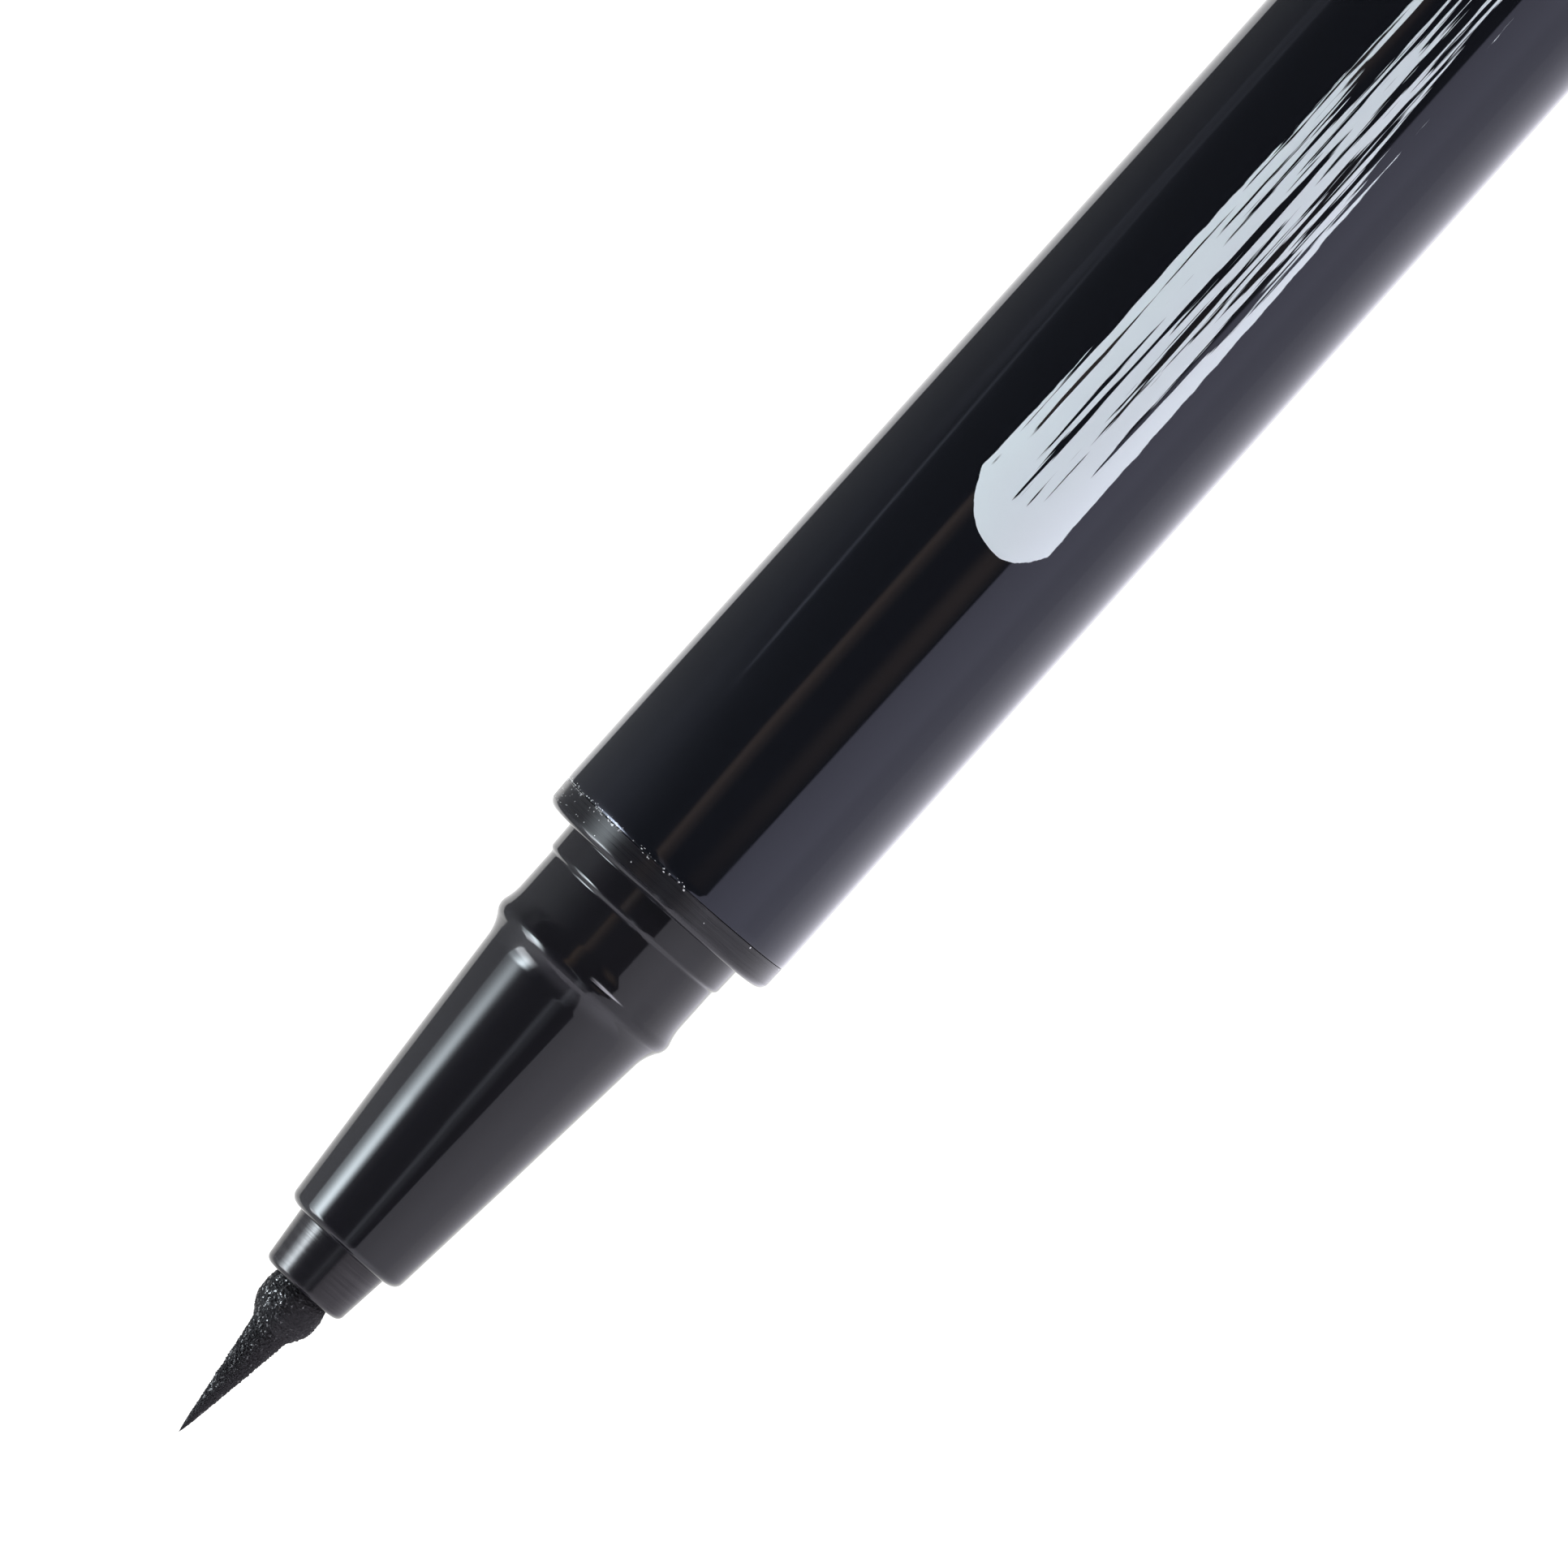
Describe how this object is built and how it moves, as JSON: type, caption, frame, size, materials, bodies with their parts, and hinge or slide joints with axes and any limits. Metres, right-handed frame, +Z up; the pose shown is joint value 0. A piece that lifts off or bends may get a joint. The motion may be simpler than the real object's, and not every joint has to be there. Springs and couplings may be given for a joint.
{
  "type": "brush pen",
  "caption": "Slim round double-ended pen for liquid ink: a pointed brush at one end, a fine felt tip at the other, each with a push-on cap; the brush's cap is off.",
  "frame": {"origin": "centre of the object's box in plan, on the surface that the pen and its brush cap lie on", "axes": "+X along the pen's axis from the brush to the felt end, +Z up from the surface, Y across"},
  "size_m": [0.1808, 0.0106, 0.0106],
  "materials": {
    "barrel_gloss": "smooth high-gloss blue-black moulded plastic with a few specks of dust",
    "front_gloss": "neutral black moulded plastic, polished, with fine turning marks from the mould",
    "holder_gloss": "neutral black moulded plastic, slightly softer gloss",
    "brush_fibre": "matt black bound fibre, grainy, with pale flecks where bristles catch the light",
    "wick_fibre": "pale bonded fibre rod",
    "collector_plastic": "translucent white moulded plastic, satin",
    "tank_plastic": "translucent grey-white moulded plastic, satin",
    "seal_rubber": "black rubber",
    "ball_steel": "polished steel ball",
    "plug_plastic": "white moulded plastic, satin",
    "felt_fibre": "hard black felt",
    "reservoir_fibre": "ink-soaked fibre rod",
    "film_plastic": "thin clear-white film",
    "cap_gloss": "smooth high-gloss blue-black moulded plastic, like the barrel",
    "liner_plastic": "pale grey moulded plastic, satin"
  },
  "bodies": {
    "pen": {"barrel": "barrel_gloss", "brush_front_section": "front_gloss", "brush_nib_holder": "holder_gloss", "brush_nib": "brush_fibre", "feed_wick": "wick_fibre", "ink_collector": "collector_plastic", "ink_tank": "tank_plastic", "tank_seal": "seal_rubber", "partition_plug": "plug_plastic", "felt_front_section": "front_gloss", "felt_nib_holder": "holder_gloss", "felt_nib": "felt_fibre", "felt_reservoir": "reservoir_fibre", "reservoir_film": "film_plastic"},
    "brush_cap": {"brush_cap_shell": "cap_gloss", "brush_cap_liner": "liner_plastic", "brush_cap_end": "cap_gloss"},
    "felt_cap": {"felt_cap_shell": "cap_gloss", "felt_cap_liner": "liner_plastic", "felt_cap_end": "cap_gloss"},
    "ball": {"mixing_ball": "ball_steel"}
  },
  "joints": [
    {"name": "brush_cap_slide", "type": "slide", "parent": "pen", "child": "brush_cap", "axis": [1, 0, 0], "range_m": [0, 0.0384]},
    {"name": "felt_cap_slide", "type": "slide", "parent": "pen", "child": "felt_cap", "axis": [1, 0, 0], "range_m": [0, 0.0384]},
    {"name": "ball_slide", "type": "slide", "parent": "pen", "child": "ball", "axis": [1, 0, 0], "range_m": [-0.0088, 0.0088]}
  ]
}
